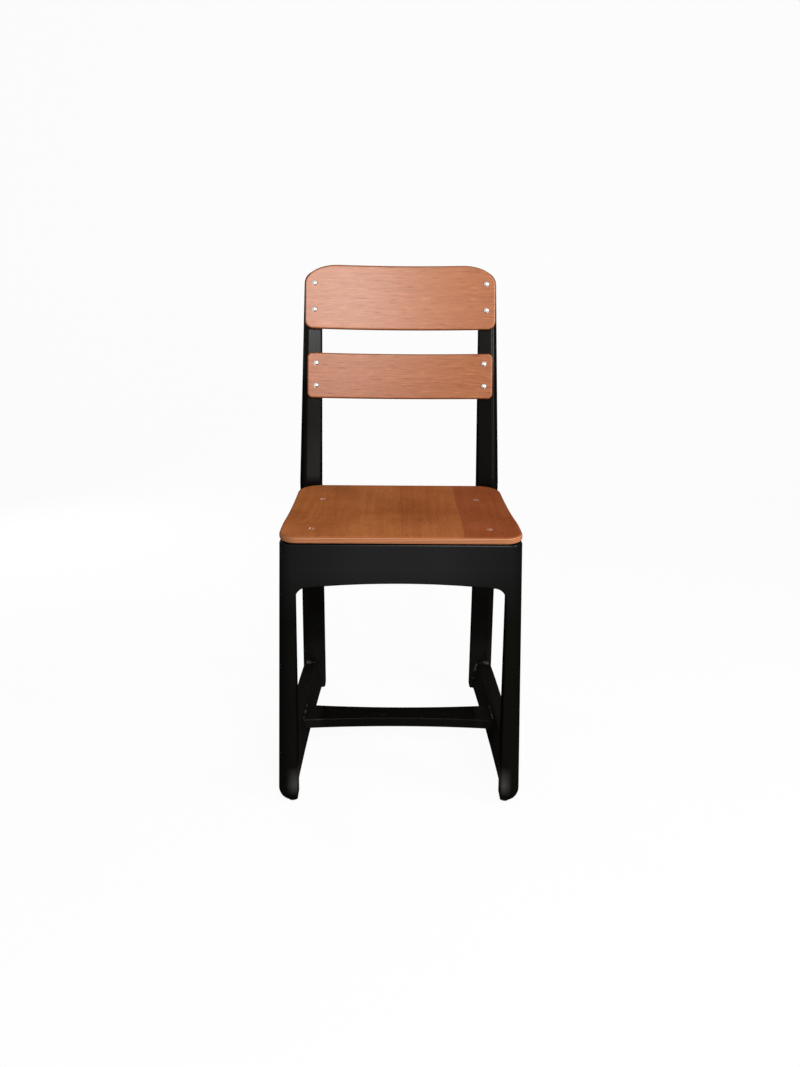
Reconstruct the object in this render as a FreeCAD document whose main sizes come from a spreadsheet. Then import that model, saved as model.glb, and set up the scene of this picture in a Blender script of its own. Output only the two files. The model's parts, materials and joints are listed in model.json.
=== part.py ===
"""School chair: a pressed steel sled frame with a moulded plywood seat and two riveted back slats.

Millimetres and degrees. +Z is up, the sitter faces -Y, and the origin is on the floor in the middle.
"""
import FreeCAD
import Part
import Sketcher
import math
import operator
import os
from types import SimpleNamespace

SIZES = {
    # Whole chair
    "front_line": -226.8,
    "sheet_steel": 1.6,
    "fit_gap": 0.1,
    "weld_gap": 0.3,
    # Front frame: apron and front legs in one pressing
    "apron_top": 420.5,
    "apron_height": 62,
    "apron_depth": 46,
    "apron_edge_round": 5,
    "arch_radius": 1480,
    "arch_corner": 18,
    "leg_inner": 158,
    "leg_width": 24,
    "leg_corner": 21,
    "leg_reach": 25,
    "foot_width": 31,
    "foot_depth": 32,
    "toe_round": 20,
    "toe_inner_round": 8,
    "opening_round": 3,
    "inner_flange": 16,
    # Rear posts: rear leg and back upright in one pressing
    "post_inner": 142,
    "post_bend_y": 369,
    "post_bend_rise": 3.5,
    "post_rise": 376,
    "recline": 13.3,
    "slat_turn": 10,
    "ankle_y": 425,
    "ankle_z": 48,
    "heel_y": 420,
    "post_outer_top": 170,
    "post_outer_seat": 175,
    "post_outer_ankle": 181,
    "post_depth_top": 20,
    "post_depth_seat": 45,
    "post_depth_floor": 32,
    "post_bend_round": 90,
    "post_back_round": 60,
    "ankle_round": 40,
    "post_crown": 24,
    "heel_round": 12,
    "post_front_round": 8,
    "post_inner_round": 3,
    # Floor runners
    "runner_start": 0,
    "runner_middle": 196,
    "runner_end": 435,
    "runner_inner_middle": 156,
    "runner_inner_rear": 146,
    "runner_width_middle": 32,
    "runner_width_rear": 35,
    "runner_slant": 10,
    "runner_height": 46,
    "runner_rise_middle": 18,
    "runner_rise_rear": 14,
    "runner_round": 5,
    # Stretcher between the runners
    "stretcher_y": 204,
    "stretcher_top": 55,
    "stretcher_height": 17,
    "stretcher_end_width": 68.5,
    "stretcher_waist": 44,
    "stretcher_round": 4,
    # Plywood seat
    "seat_clearance": 0.3,
    "seat_thickness": 11,
    "seat_front_half_width": 182,
    "seat_rear_half_width": 178.5,
    "seat_overhang": 6,
    "seat_rear_y": 361,
    "seat_crown_y": 50,
    "seat_crown_radius": 500,
    "seat_dish_y": 270,
    "seat_dish_depth": 9,
    "seat_front_corner": 27,
    "seat_rear_corner": 44,
    "seat_edge_round": 4,
    # Seat rails
    "rail_inset": 16,
    "rail_flange": 48,
    "rail_height": 36,
    "rail_lip": 14,
    "rail_front_y": 7,
    "rail_notch_y": 17,
    "rail_rear_y": 372,
    "cross_rail_drop": 12.5,
    "cross_rail_height": 34,
    "cross_rail_depth": 24,
    "cross_rail_y": 380,
    "cross_rail_round": 3,
    # Back slats, measured up the recline from the bend of the posts
    "slat_thickness": 9,
    "slat_edge_round": 3,
    "upper_slat_start": 282,
    "upper_slat_height": 115,
    "upper_slat_half_width": 171,
    "upper_slat_corner_across": 60,
    "upper_slat_corner_drop": 36,
    "upper_slat_side_round": 26,
    "upper_slat_bottom_corner": 14,
    "upper_rivet_low": 34,
    "upper_rivet_high": 81,
    "upper_rivet_half_span": 155.5,
    "lower_slat_start": 158,
    "lower_slat_height": 81,
    "lower_slat_half_width": 166.5,
    "lower_slat_corner": 9,
    "lower_rivet_low": 22.5,
    "lower_rivet_high": 62.5,
    "lower_rivet_half_span": 152,
    # Fasteners
    "rivet_head_diameter": 10,
    "rivet_head_height": 2.6,
    "rivet_diameter": 4.6,
    "rivet_clinch_diameter": 8,
    "rivet_clinch_height": 1.6,
    "hole_clearance": 0.2,
    "washer_diameter": 12,
    "washer_thickness": 1.2,
    "screw_head_diameter": 9.5,
    "screw_head_height": 2.2,
    "screw_slot_width": 1.2,
    "screw_slot_depth": 1.1,
    "screw_diameter": 5,
    "screw_end": 2.5,
    "nut_across_flats": 8,
    "nut_height": 4,
    "screw_front_inset": 32.5,
    "screw_front_y": 30,
    "screw_rear_inset": 35.5,
    "screw_rear_y": 255,
    # Glides
    "foot_lift": 4,
    "glide_diameter": 14,
    "glide_round": 1.5,
    "glide_stem_diameter": 5,
    "glide_stem_length": 7,
}

# A hollow runs past the open side of its sheet by this many sheet thicknesses
HOLLOW_OVERRUN = 12

# How far each seat screw's slot has turned when the screw is tight, in degrees
SCREW_SLOT_TURNS = (25, 70, 140, 105)

# An edge is taken to lie at a place when it is this near, in millimetres
EDGE_MARGIN = 0.2

# Straight edges are taken as parallel below this sine of the angle between them
PARALLEL_MARGIN = 0.01

# A hole's drill is this many times as long as the stack it goes through, centred on the stack
DRILL_LENGTH = 2

doc = FreeCAD.newDocument("school_chair")


class Size:
    """A number together with the spreadsheet expression that gives it."""

    def __init__(self, text, value):
        self.text = text
        self.value = value

    def __add__(self, other):
        return joined(self, "+", operator.add, other)

    def __radd__(self, other):
        return joined(other, "+", operator.add, self)

    def __sub__(self, other):
        return joined(self, "-", operator.sub, other)

    def __rsub__(self, other):
        return joined(other, "-", operator.sub, self)

    def __mul__(self, other):
        return joined(self, "*", operator.mul, other)

    def __rmul__(self, other):
        return joined(other, "*", operator.mul, self)

    def __truediv__(self, other):
        return joined(self, "/", operator.truediv, other)

    def __neg__(self):
        return Size(f"(-{self.text})", -self.value)


def as_size(number):
    return number if isinstance(number, Size) else Size(repr(number), number)


def joined(left, sign, action, right):
    left = as_size(left)
    right = as_size(right)
    return Size(f"({left.text} {sign} {right.text})", action(left.value, right.value))


def sine(angle):
    return Size(f"sin({angle.text})", math.sin(math.radians(angle.value)))


def cosine(angle):
    return Size(f"cos({angle.text})", math.cos(math.radians(angle.value)))


def tangent(angle):
    return Size(f"tan({angle.text})", math.tan(math.radians(angle.value)))


def root(number):
    return Size(f"sqrt({number.text})", math.sqrt(number.value))


def make_sheet():
    """Put the driving dimensions in a spreadsheet and give back a Size for each alias."""
    sheet = doc.addObject("Spreadsheet::Sheet", "Sizes")
    for row, (alias, value) in enumerate(SIZES.items(), start=1):
        sheet.set(f"A{row}", alias)
        sheet.set(f"B{row}", str(value))
        sheet.setAlias(f"B{row}", alias)
    doc.recompute()
    return SimpleNamespace(**{alias: Size(f"Sizes.{alias}", sheet.get(alias)) for alias in SIZES})


S = make_sheet()

# Widths and heights that several pieces share
APRON_HALF_WIDTH = S.leg_inner + S.leg_width
FOOT_HALF_WIDTH = S.leg_inner + S.foot_width
RAIL_OUTER = APRON_HALF_WIDTH - S.rail_inset
RAIL_INNER = RAIL_OUTER - S.rail_flange
RUNNER_OUTER_MIDDLE = S.runner_inner_middle + S.runner_width_middle
RUNNER_OUTER_REAR = S.runner_inner_rear + S.runner_width_rear
POST_BEND_Z = S.apron_top + S.post_bend_rise
POST_TOP = POST_BEND_Z + S.post_rise


def bind(thing, path, size):
    """Tie a property to the sheet, or set it when it is a plain number."""
    size = as_size(size)
    thing.setExpression(path, size.text)


def make_body(name, x=0, y=S.front_line, z=0):
    body = doc.addObject("PartDesign::Body", name)
    bind(body, "Placement.Base.x", x)
    bind(body, "Placement.Base.y", y)
    bind(body, "Placement.Base.z", z)
    return body


def arc_between(start, end, radius):
    """The short arc from start to end; a positive radius turns anticlockwise."""
    middle = (start + end) * 0.5
    half = (end - start) * 0.5
    rise = math.sqrt(radius * radius - half.Length * half.Length)
    left = FreeCAD.Vector(-half.y, half.x, 0).normalize()
    centre = middle + left * math.copysign(rise, radius)
    circle = Part.Circle(centre, FreeCAD.Vector(0, 0, 1), abs(radius))
    first, last = (start, end) if radius > 0 else (end, start)
    angles = [math.atan2(point.y - centre.y, point.x - centre.x) for point in (first, last)]
    return Part.ArcOfCircle(circle, angles[0], angles[1])


def add_sketch(body, name, role, outline, offset=0):
    """A closed outline of corners (across, up) or (across, up, radius of the arc to the next corner)."""
    sketch = body.newObject("Sketcher::SketchObject", name)
    plane = next(item for item in body.Origin.OriginFeatures if item.Role == role)
    sketch.AttachmentSupport = [(plane, "")]
    sketch.MapMode = "FlatFace"
    bind(sketch, "AttachmentOffset.Base.z", offset)
    corners = [[as_size(item) for item in corner] for corner in outline]
    points = [FreeCAD.Vector(corner[0].value, corner[1].value, 0) for corner in corners]
    starts = []
    ends = []
    for index, corner in enumerate(corners):
        start = points[index]
        end = points[(index + 1) % len(points)]
        curved = len(corner) == 3
        edge = arc_between(start, end, corner[2].value) if curved else Part.LineSegment(start, end)
        number = sketch.addGeometry(edge, False)
        backward = curved and corner[2].value < 0
        starts.append((number, 2 if backward else 1))
        ends.append((number, 1 if backward else 2))
    for index, start in enumerate(starts):
        sketch.addConstraint(Sketcher.Constraint("Coincident", *ends[index - 1], *start))
    for index, corner in enumerate(corners):
        for kind, size in zip(("DistanceX", "DistanceY"), corner):
            constraint = Sketcher.Constraint(kind, -1, 1, *starts[index], size.value)
            bind(sketch, f"Constraints[{sketch.addConstraint(constraint)}]", size)
        if len(corner) == 3:
            radius = corner[2] if corner[2].value > 0 else -corner[2]
            constraint = Sketcher.Constraint("Radius", starts[index][0], radius.value)
            bind(sketch, f"Constraints[{sketch.addConstraint(constraint)}]", radius)
    return sketch


def add_extrusion(body, kind, name, sketch, length=None, backward=False, both_ways=False, slope=None):
    """A pad or pocket; no length cuts through all, and slope is the direction's (x, y) when skewed."""
    feature = body.newObject(f"PartDesign::{kind}", name)
    feature.Profile = sketch
    feature.Reversed = backward
    feature.Midplane = both_ways
    if slope:
        feature.UseCustomVector = True
        feature.Direction = FreeCAD.Vector(1, 1, 0)
        feature.AlongSketchNormal = True
        bind(feature, "Direction.x", slope[0])
        bind(feature, "Direction.y", slope[1])
    if length is None:
        feature.Type = "ThroughAll"
    else:
        bind(feature, "Length", length)
    doc.recompute()
    return feature


def add_loft(body, name, sketches):
    loft = body.newObject("PartDesign::AdditiveLoft", name)
    loft.Profile = sketches[0]
    loft.Sections = sketches[1:]
    loft.Ruled = len(sketches) == 2
    doc.recompute()
    return loft


def edges_where(shape, test):
    """The names of the edges that pass the test, which is given an edge's middle point and the edge."""
    names = []
    for number, edge in enumerate(shape.Edges, start=1):
        middle = edge.valueAt((edge.FirstParameter + edge.LastParameter) / 2)
        if test(middle, edge):
            names.append(f"Edge{number}")
    return names


def add_fillet(body, name, radius, test):
    base = body.Tip
    fillet = body.newObject("PartDesign::Fillet", name)
    fillet.Base = (base, edges_where(base.Shape, test))
    bind(fillet, "Radius", radius)
    doc.recompute()
    return fillet


def near(value, size, margin=EDGE_MARGIN):
    return abs(value - as_size(size).value) < margin


def along(edge, direction):
    """Whether an edge is straight and runs along a direction."""
    if not isinstance(edge.Curve, Part.Line):
        return False
    return edge.Curve.Direction.cross(FreeCAD.Vector(*direction)).Length < PARALLEL_MARGIN


def make_mirror(name, source):
    """The left-hand twin of a right-hand piece."""
    twin = doc.addObject("Part::Mirroring", name)
    twin.Source = source
    twin.Normal = FreeCAD.Vector(1, 0, 0)
    doc.recompute()
    return twin


def cut(name, base, *tools):
    """Take each tool out of the base in turn; the last cut carries the name."""
    for number, tool in enumerate(tools, start=1):
        label = name if number == len(tools) else f"{name}_cut_{number}"
        result = doc.addObject("Part::Cut", label)
        result.Base = base
        result.Tool = tool
        doc.recompute()
        base = result
    return base


def moved_along(places, distance):
    """The same places, moved along their own Z axes."""
    step = FreeCAD.Placement(FreeCAD.Vector(0, 0, distance.value), FreeCAD.Rotation())
    return [place.multiply(step) for place in places]


def make_drill(name, diameter, stack, places):
    """Round bars to cut holes with, through a stack that hangs below each place along its Z axis."""
    length = stack * DRILL_LENGTH
    starts = moved_along(places, -(stack + length) / 2)
    bars = []
    for number, place in enumerate(starts, start=1):
        bar = doc.addObject("Part::Cylinder", f"{name}_{number}")
        bind(bar, "Radius", diameter / 2)
        bind(bar, "Height", length)
        bar.Placement = place
        bars.append(bar)
    group = doc.addObject("Part::Compound", name)
    group.Links = bars
    doc.recompute()
    return group


def turned(name, outline):
    """A body turned about its Z axis from a half outline of (radius, height)."""
    body = doc.addObject("PartDesign::Body", name)
    sketch = add_sketch(body, f"{name}_outline", "XZ_Plane", outline)
    turn = body.newObject("PartDesign::Revolution", f"{name}_turn")
    turn.Profile = sketch
    turn.ReferenceAxis = (sketch, ["V_Axis"])
    turn.Angle = 360
    doc.recompute()
    return body


def dome_radius(radius, height):
    return (radius * radius + height * height) / (height * 2)


def group_of(name, pattern, places):
    """One node holding a copy of the pattern piece at each place."""
    copies = []
    for place in places:
        copy = pattern.Shape.copy()
        copy.Placement = place.multiply(copy.Placement)
        copies.append(copy)
    group = doc.addObject("Part::Feature", name)
    group.Shape = Part.makeCompound(copies) if len(copies) > 1 else copies[0]
    return group


def upright(x, y, z):
    return FreeCAD.Placement(FreeCAD.Vector(x.value, y.value, z.value), FreeCAD.Rotation())


# Front frame: apron and front legs, a pan pressed from one sheet and open at the back

def arch_crown(inset):
    """Height of the opening's arch at the middle."""
    return S.apron_top - S.apron_height + inset


def opening_outline(inset):
    """The opening between the legs, under a shallow arch with round corners."""
    inner = S.leg_inner + inset
    radius = S.arch_radius + inset
    corner = S.arch_corner + inset
    centre = arch_crown(inset) - radius
    reach = radius - corner
    corner_z = centre + root(reach * reach - (inner - corner) * (inner - corner))
    turn_x = (inner - corner) * radius / reach
    turn_z = centre + (corner_z - centre) * radius / reach
    return [
        (-inner, 0),
        (inner, 0),
        (inner, corner_z, corner),
        (turn_x, turn_z, radius),
        (-turn_x, turn_z, corner),
        (-inner, corner_z),
    ]


def toe_waste(side, inset):
    """What is cut off a toe's inner bottom edge to leave it round."""
    inner = S.leg_inner + inset
    sole = S.foot_lift + inset
    toe = S.toe_inner_round - inset
    return [
        ((inner - toe) * side, sole - toe),
        ((inner + toe) * side, sole - toe),
        ((inner + toe) * side, sole, -toe * side),
        (inner * side, sole + toe),
        ((inner - toe) * side, sole + toe),
    ]


def front_form(name, inset):
    """The front frame's outer shape, or its hollow when inset by the sheet."""
    body = make_body(name)
    sole = S.foot_lift + inset
    top = S.apron_top - inset
    inner = S.leg_inner + inset

    def section(label, half_width, front, depth, height):
        side = half_width - inset
        start = front + inset
        corner = S.leg_corner - inset
        back = front + depth + inset * HOLLOW_OVERRUN
        outline = [
            (-side, start + corner, corner),
            (corner - side, start),
            (side - corner, start, corner),
            (side, start + corner),
            (side, back),
            (-side, back),
        ]
        return add_sketch(body, f"{name}_{label}", "XY_Plane", outline, height)

    floor_section = section("floor", FOOT_HALF_WIDTH, -S.leg_reach, S.foot_depth, sole)
    apron_section = section("apron", APRON_HALF_WIDTH, as_size(0), S.apron_depth, top)
    add_loft(body, f"{name}_blank", [floor_section, apron_section])
    foot_back = (S.foot_depth - S.leg_reach).value

    def on_back(edge):
        return along(edge, (1, 0, 0)) and edge.BoundBox.YMin > foot_back - EDGE_MARGIN

    def at_toe(middle, edge):
        return near(middle.z, sole) and abs(middle.x) > inner.value + EDGE_MARGIN and not on_back(edge)

    def at_apron_edge(middle, edge):
        return near(middle.z, top) and not on_back(edge)

    def at_arch_front(middle, edge):
        return near(middle.x, 0) and near(middle.z, arch_crown(inset)) and middle.y < S.inner_flange.value

    outline = add_sketch(body, f"{name}_opening_outline", "XZ_Plane", opening_outline(inset))
    add_extrusion(body, "Pocket", f"{name}_opening", outline, both_ways=True)
    add_fillet(body, f"{name}_toes", S.toe_round - inset, at_toe)
    add_fillet(body, f"{name}_apron_edge", S.apron_edge_round - inset, at_apron_edge)
    add_fillet(body, f"{name}_opening_edge", S.opening_round - inset, at_arch_front)
    for label, side in (("right", 1), ("left", -1)):
        waste = add_sketch(body, f"{name}_{label}_toe_waste", "XZ_Plane", toe_waste(side, inset))
        add_extrusion(body, "Pocket", f"{name}_{label}_toe", waste, both_ways=True)
    return body


def flange_trim():
    """What is cut off the flange round the opening, so that it stays shallow."""
    body = make_body("flange_trim")
    outline = opening_outline(S.sheet_steel * 2)
    sketch = add_sketch(body, "flange_trim_outline", "XZ_Plane", outline, -S.inner_flange)
    add_extrusion(body, "Pad", "flange_trim_block", sketch, S.apron_depth, backward=True)
    return body


def rail_notch(name, side):
    """What is cut out of the apron's top, so that a seat rail's flange comes forward under the seat."""
    block = doc.addObject("Part::Box", name)
    inner = RAIL_INNER - S.weld_gap
    outer = RAIL_OUTER + S.weld_gap
    bind(block, "Length", outer - inner)
    bind(block, "Width", S.apron_depth)
    bind(block, "Height", S.sheet_steel * 2)
    bind(block, "Placement.Base.x", inner if side > 0 else -outer)
    bind(block, "Placement.Base.y", S.front_line + S.rail_notch_y)
    bind(block, "Placement.Base.z", S.apron_top - S.sheet_steel * 2)
    return block


# Rear posts: rear leg and back upright, a bent channel open at the back

# Going outward, the post's face comes forward by this slope, so that the curved slats lie flat on it
TOE_SLOPE = tangent(S.slat_turn) / cosine(S.recline)


def post_face_y(z):
    """Where the upright's face is at a height, at its inner edge."""
    return S.post_bend_y + (z - POST_BEND_Z) * tangent(S.recline)


def post_form(name, inset):
    """The right post's outer shape, or its hollow when inset by the sheet."""
    body = make_body(name)
    front = inset / (cosine(S.recline) * cosine(S.slat_turn)) - inset * TOE_SLOPE
    back = inset * HOLLOW_OVERRUN
    top = POST_TOP - inset
    sole = S.foot_lift + inset
    top_y = post_face_y(top)
    side = add_sketch(body, f"{name}_side", "YZ_Plane", [
        (S.heel_y + front, sole),
        (S.heel_y + S.post_depth_floor + back, sole),
        (S.post_bend_y + S.post_depth_seat + back, POST_BEND_Z),
        (top_y + S.post_depth_top + back, top),
        (top_y + front, top),
        (S.post_bend_y + front, POST_BEND_Z),
        (S.ankle_y + front, S.ankle_z),
    ], S.post_inner + inset)
    width = S.post_outer_ankle - S.post_inner + S.post_depth_seat
    add_extrusion(body, "Pad", f"{name}_blank", side, width, slope=(as_size(1), -TOE_SLOPE))

    def outer_at_front_line(outer, face_y):
        """Where the outer side's plane crosses the front line, from its place on the post's face."""
        return outer - inset - (face_y - (outer - S.post_inner) * TOE_SLOPE) * TOE_SLOPE

    outer_top = outer_at_front_line(S.post_outer_top, post_face_y(POST_TOP))
    outer_seat = outer_at_front_line(S.post_outer_seat, S.post_bend_y)
    outer_ankle = outer_at_front_line(S.post_outer_ankle, S.ankle_y)
    outer_floor = outer_ankle + (outer_ankle - outer_seat) * S.ankle_z / (POST_BEND_Z - S.ankle_z)
    far = outer_floor + width * 2
    waste = add_sketch(body, f"{name}_waste", "XZ_Plane", [
        (outer_floor, 0),
        (far, 0),
        (far, POST_TOP),
        (outer_top, POST_TOP),
        (outer_seat, POST_BEND_Z),
    ])
    add_extrusion(body, "Pocket", f"{name}_outer_side", waste, both_ways=True, slope=(TOE_SLOPE, as_size(1)))

    across = (1, -TOE_SLOPE.value, 0)
    deep = (TOE_SLOPE.value, 1, 0)

    face_y = (S.post_bend_y + front).value

    def at_bend(middle, edge):
        return along(edge, across) and near(middle.z, POST_BEND_Z) and middle.y < face_y

    def at_back_bend(middle, edge):
        return along(edge, across) and near(middle.z, POST_BEND_Z) and middle.y > face_y

    def at_ankle(middle, edge):
        return along(edge, across) and near(middle.z, S.ankle_z)

    def at_crown(middle, edge):
        return along(edge, deep) and near(middle.z, top)

    def at_heel(middle, edge):
        return along(edge, deep) and near(middle.z, sole)

    def at_front_top(middle, edge):
        return along(edge, across) and near(middle.z, top) and middle.y < (top_y + S.post_depth_top / 2).value

    def at_inner_front(middle, edge):
        middle_y = (S.post_bend_y + top_y) / 2 + front
        on_inner_side = near(middle.x, S.post_inner + inset)
        return on_inner_side and near(middle.y, middle_y, S.post_depth_top.value / 2)

    add_fillet(body, f"{name}_bend", S.post_bend_round - inset, at_bend)
    add_fillet(body, f"{name}_back_bend", S.post_back_round, at_back_bend)
    add_fillet(body, f"{name}_ankle", S.ankle_round + inset, at_ankle)
    add_fillet(body, f"{name}_crown", S.post_crown - inset, at_crown)
    add_fillet(body, f"{name}_heel", S.heel_round - inset, at_heel)
    add_fillet(body, f"{name}_front_edge", S.post_front_round - inset, at_front_top)
    add_fillet(body, f"{name}_inner_edge", S.post_inner_round - inset, at_inner_front)
    return body


# Floor runners: inverted channels with a slanted inner wall

def runner_stations():
    """Along the right runner: y, its outer and inner sides, and the height of its underside."""
    rise_front = S.foot_lift + S.toe_round
    leg_height = S.toe_round + S.runner_height
    splay = (FOOT_HALF_WIDTH - APRON_HALF_WIDTH) * leg_height / (S.apron_top - S.foot_lift)
    outer_front = FOOT_HALF_WIDTH - splay - S.sheet_steel - S.weld_gap
    inner_front = S.leg_inner + S.sheet_steel + S.weld_gap
    return [
        (S.runner_start, outer_front, inner_front, rise_front),
        (S.runner_middle, RUNNER_OUTER_MIDDLE, S.runner_inner_middle, S.runner_rise_middle),
        (S.runner_end, RUNNER_OUTER_REAR, S.runner_inner_rear, S.runner_rise_rear),
    ]


def runner_form(name, inset):
    """The right runner's outer shape, or its hollow when inset by the sheet."""
    body = make_body(name)
    below = inset * HOLLOW_OVERRUN
    corner = S.runner_round - inset
    wall_length = root(S.runner_slant * S.runner_slant + S.runner_height * S.runner_height)
    setback = corner * (wall_length - S.runner_slant) / S.runner_height
    setback_across = setback * S.runner_slant / wall_length
    setback_down = setback * S.runner_height / wall_length
    sections = []
    for number, (y, outer, inner, rise) in enumerate(runner_stations(), start=1):
        bottom = rise - below
        top = rise + S.runner_height - inset
        side = outer - inset
        inner_bottom = inner + inset - S.runner_slant * below / S.runner_height
        inner_top = inner + inset + S.runner_slant * (S.runner_height - inset) / S.runner_height
        outline = [
            (inner_bottom, bottom),
            (side, bottom),
            (side, top - corner, corner),
            (side - corner, top),
            (inner_top + setback, top, corner),
            (inner_top - setback_across, top - setback_down),
        ]
        sections.append(add_sketch(body, f"{name}_section_{number}", "XZ_Plane", outline, -y))
    add_loft(body, f"{name}_blank", sections)
    return body


# Stretcher: a waisted inverted channel welded to the runners' inner walls

def stretcher_form(name, inset):
    """The stretcher's outer shape, or its hollow when inset by the sheet."""
    body = make_body(name)
    half = RUNNER_OUTER_MIDDLE
    sag = (S.stretcher_end_width - S.stretcher_waist) / 2
    radius = (half * half + sag * sag) / (sag * 2)
    bow = S.stretcher_waist / 2 + radius - root((radius + inset) * (radius + inset) - half * half)
    outline = [
        (-half, S.stretcher_y - bow, -(radius + inset)),
        (half, S.stretcher_y - bow),
        (half, S.stretcher_y + bow, -(radius + inset)),
        (-half, S.stretcher_y + bow),
    ]
    bottom = S.stretcher_top - S.stretcher_height - inset * HOLLOW_OVERRUN
    top = S.stretcher_top - inset
    sketch = add_sketch(body, f"{name}_plan", "XY_Plane", outline, bottom)
    add_extrusion(body, "Pad", f"{name}_blank", sketch, top - bottom)
    add_fillet(body, f"{name}_top_edges", S.stretcher_round - inset, lambda middle, edge:
               near(middle.x, 0) and near(middle.z, top) and not along(edge, (1, 0, 0)))
    return body


def runner_wall(y):
    """Where the runner's inner wall would meet the floor at y, and how far it leans in going back."""
    feet = [(station_y, inner - S.runner_slant * rise / S.runner_height)
            for station_y, outer, inner, rise in runner_stations()]
    (front_y, front_x), (middle_y, middle_x), (rear_y, rear_x) = feet
    front_lean = (middle_x - front_x) / (middle_y - front_y)
    rear_lean = (rear_x - middle_x) / (rear_y - middle_y)
    curl = (rear_lean - front_lean) / (rear_y - front_y)
    middle_lean = front_lean + curl * (middle_y - front_y)
    past = y - middle_y
    return middle_x + past * middle_lean + past * past * curl, middle_lean + past * curl * 2


def make_stretcher():
    """The stretcher, cut at both ends to lie along the runners' inner walls."""
    body = stretcher_form("stretcher_form", as_size(0))
    foot, lean = runner_wall(S.stretcher_y)
    foot_at_front_line = foot - lean * S.stretcher_y - S.weld_gap
    top = S.stretcher_top * 2
    top_at_front_line = foot_at_front_line + S.runner_slant * top / S.runner_height
    far = RUNNER_OUTER_MIDDLE * 2
    for label, side in (("right", 1), ("left", -1)):
        waste = add_sketch(body, f"stretcher_{label}_waste", "XZ_Plane", [
            (foot_at_front_line * side, 0),
            (far * side, 0),
            (far * side, top),
            (top_at_front_line * side, top),
        ])
        add_extrusion(body, "Pocket", f"stretcher_{label}_end", waste, both_ways=True,
                      slope=(lean * side, as_size(1)))
    return cut("stretcher", body, stretcher_form("stretcher_hollow", S.sheet_steel))


# Plywood seat: crowned near the front, dished towards the back

SEAT_SPAN = S.seat_dish_y - S.seat_crown_y
SEAT_RADII = (SEAT_SPAN * SEAT_SPAN + S.seat_dish_depth * S.seat_dish_depth) / (S.seat_dish_depth * 2)
SEAT_DISH_RADIUS = SEAT_RADII - S.seat_crown_radius
SEAT_UNDERSIDE_RADIUS = S.seat_crown_radius - S.seat_thickness
SEAT_FRONT_REACH = S.seat_crown_y + S.seat_overhang
SEAT_FRONT_RISE = root(SEAT_UNDERSIDE_RADIUS * SEAT_UNDERSIDE_RADIUS - SEAT_FRONT_REACH * SEAT_FRONT_REACH)
SEAT_CROWN_CENTRE = S.apron_top + S.seat_clearance - SEAT_FRONT_RISE
SEAT_HEIGHT = SEAT_CROWN_CENTRE + S.seat_crown_radius
SEAT_DISH_CENTRE = SEAT_HEIGHT - S.seat_dish_depth + SEAT_DISH_RADIUS


def seat_turn_y(depth):
    """Where the crown hands over to the dish, at a depth below the seat's top."""
    return S.seat_crown_y + SEAT_SPAN * (S.seat_crown_radius - depth) / SEAT_RADII


def seat_level(y, depth):
    """Height of the seat's profile at y, at a depth below the seat's top."""
    if y.value < seat_turn_y(depth).value:
        radius = S.seat_crown_radius - depth
        return SEAT_CROWN_CENTRE + root(radius * radius - (y - S.seat_crown_y) * (y - S.seat_crown_y))
    radius = SEAT_DISH_RADIUS + depth
    return SEAT_DISH_CENTRE - root(radius * radius - (y - S.seat_dish_y) * (y - S.seat_dish_y))


def seat_lean(y):
    """How far the seat's upward normal leans back at y, in degrees."""
    if y.value < seat_turn_y(as_size(0)).value:
        return math.degrees(math.asin((y - S.seat_crown_y).value / S.seat_crown_radius.value))
    return -math.degrees(math.asin((y - S.seat_dish_y).value / SEAT_DISH_RADIUS.value))


def seat_curve(front, rear, depth):
    """Corners of the seat's profile from front to rear, at a depth below the seat's top."""
    turn = seat_turn_y(depth)
    share = (S.seat_crown_radius - depth) / SEAT_RADII
    turn_level = SEAT_CROWN_CENTRE + (SEAT_RADII - S.seat_dish_depth) * share
    return [
        (front, seat_level(front, depth), depth - S.seat_crown_radius),
        (turn, turn_level, SEAT_DISH_RADIUS + depth),
        (rear, seat_level(rear, depth)),
    ]


def backward(corners):
    """The same corners walked the other way, with their arcs."""
    places = [corner[:2] for corner in reversed(corners)]
    arcs = [(-corner[2],) for corner in reversed(corners[:-1])]
    return [place + arc for place, arc in zip(places, arcs + [()])]


def make_seat(screw_holes):
    body = make_body("seat_board")
    front = -S.seat_overhang
    rear = S.seat_rear_y
    plan = add_sketch(body, "seat_plan", "XY_Plane", [
        (-S.seat_front_half_width, front),
        (S.seat_front_half_width, front),
        (S.seat_rear_half_width, rear),
        (-S.seat_rear_half_width, rear),
    ], SEAT_HEIGHT - S.seat_dish_depth - S.seat_thickness * 2)
    block = S.seat_dish_depth + S.seat_thickness * 3
    add_extrusion(body, "Pad", "seat_block", plan, block)
    add_fillet(body, "seat_front_corners", S.seat_front_corner, lambda middle, edge:
               along(edge, (0, 0, 1)) and near(middle.y, front))
    add_fillet(body, "seat_rear_corners", S.seat_rear_corner, lambda middle, edge:
               along(edge, (0, 0, 1)) and near(middle.y, rear))
    past_front = front - S.seat_thickness
    past_rear = rear + S.seat_thickness
    for label, depth, level in (
        ("seat_top", as_size(0), SEAT_HEIGHT + block),
        ("seat_underside", S.seat_thickness, SEAT_HEIGHT - block),
    ):
        outline = seat_curve(past_front, past_rear, depth) + [(past_rear, level), (past_front, level)]
        sketch = add_sketch(body, f"{label}_outline", "YZ_Plane", outline)
        add_extrusion(body, "Pocket", label, sketch, both_ways=True)
    add_fillet(body, "seat_edges", S.seat_edge_round, lambda middle, edge:
               near(middle.x, 0) and along(edge, (1, 0, 0)))
    return cut("seat", body, screw_holes)


# Seat rails: angle rails that follow the seat, with a tongue welded under the apron's top

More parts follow.
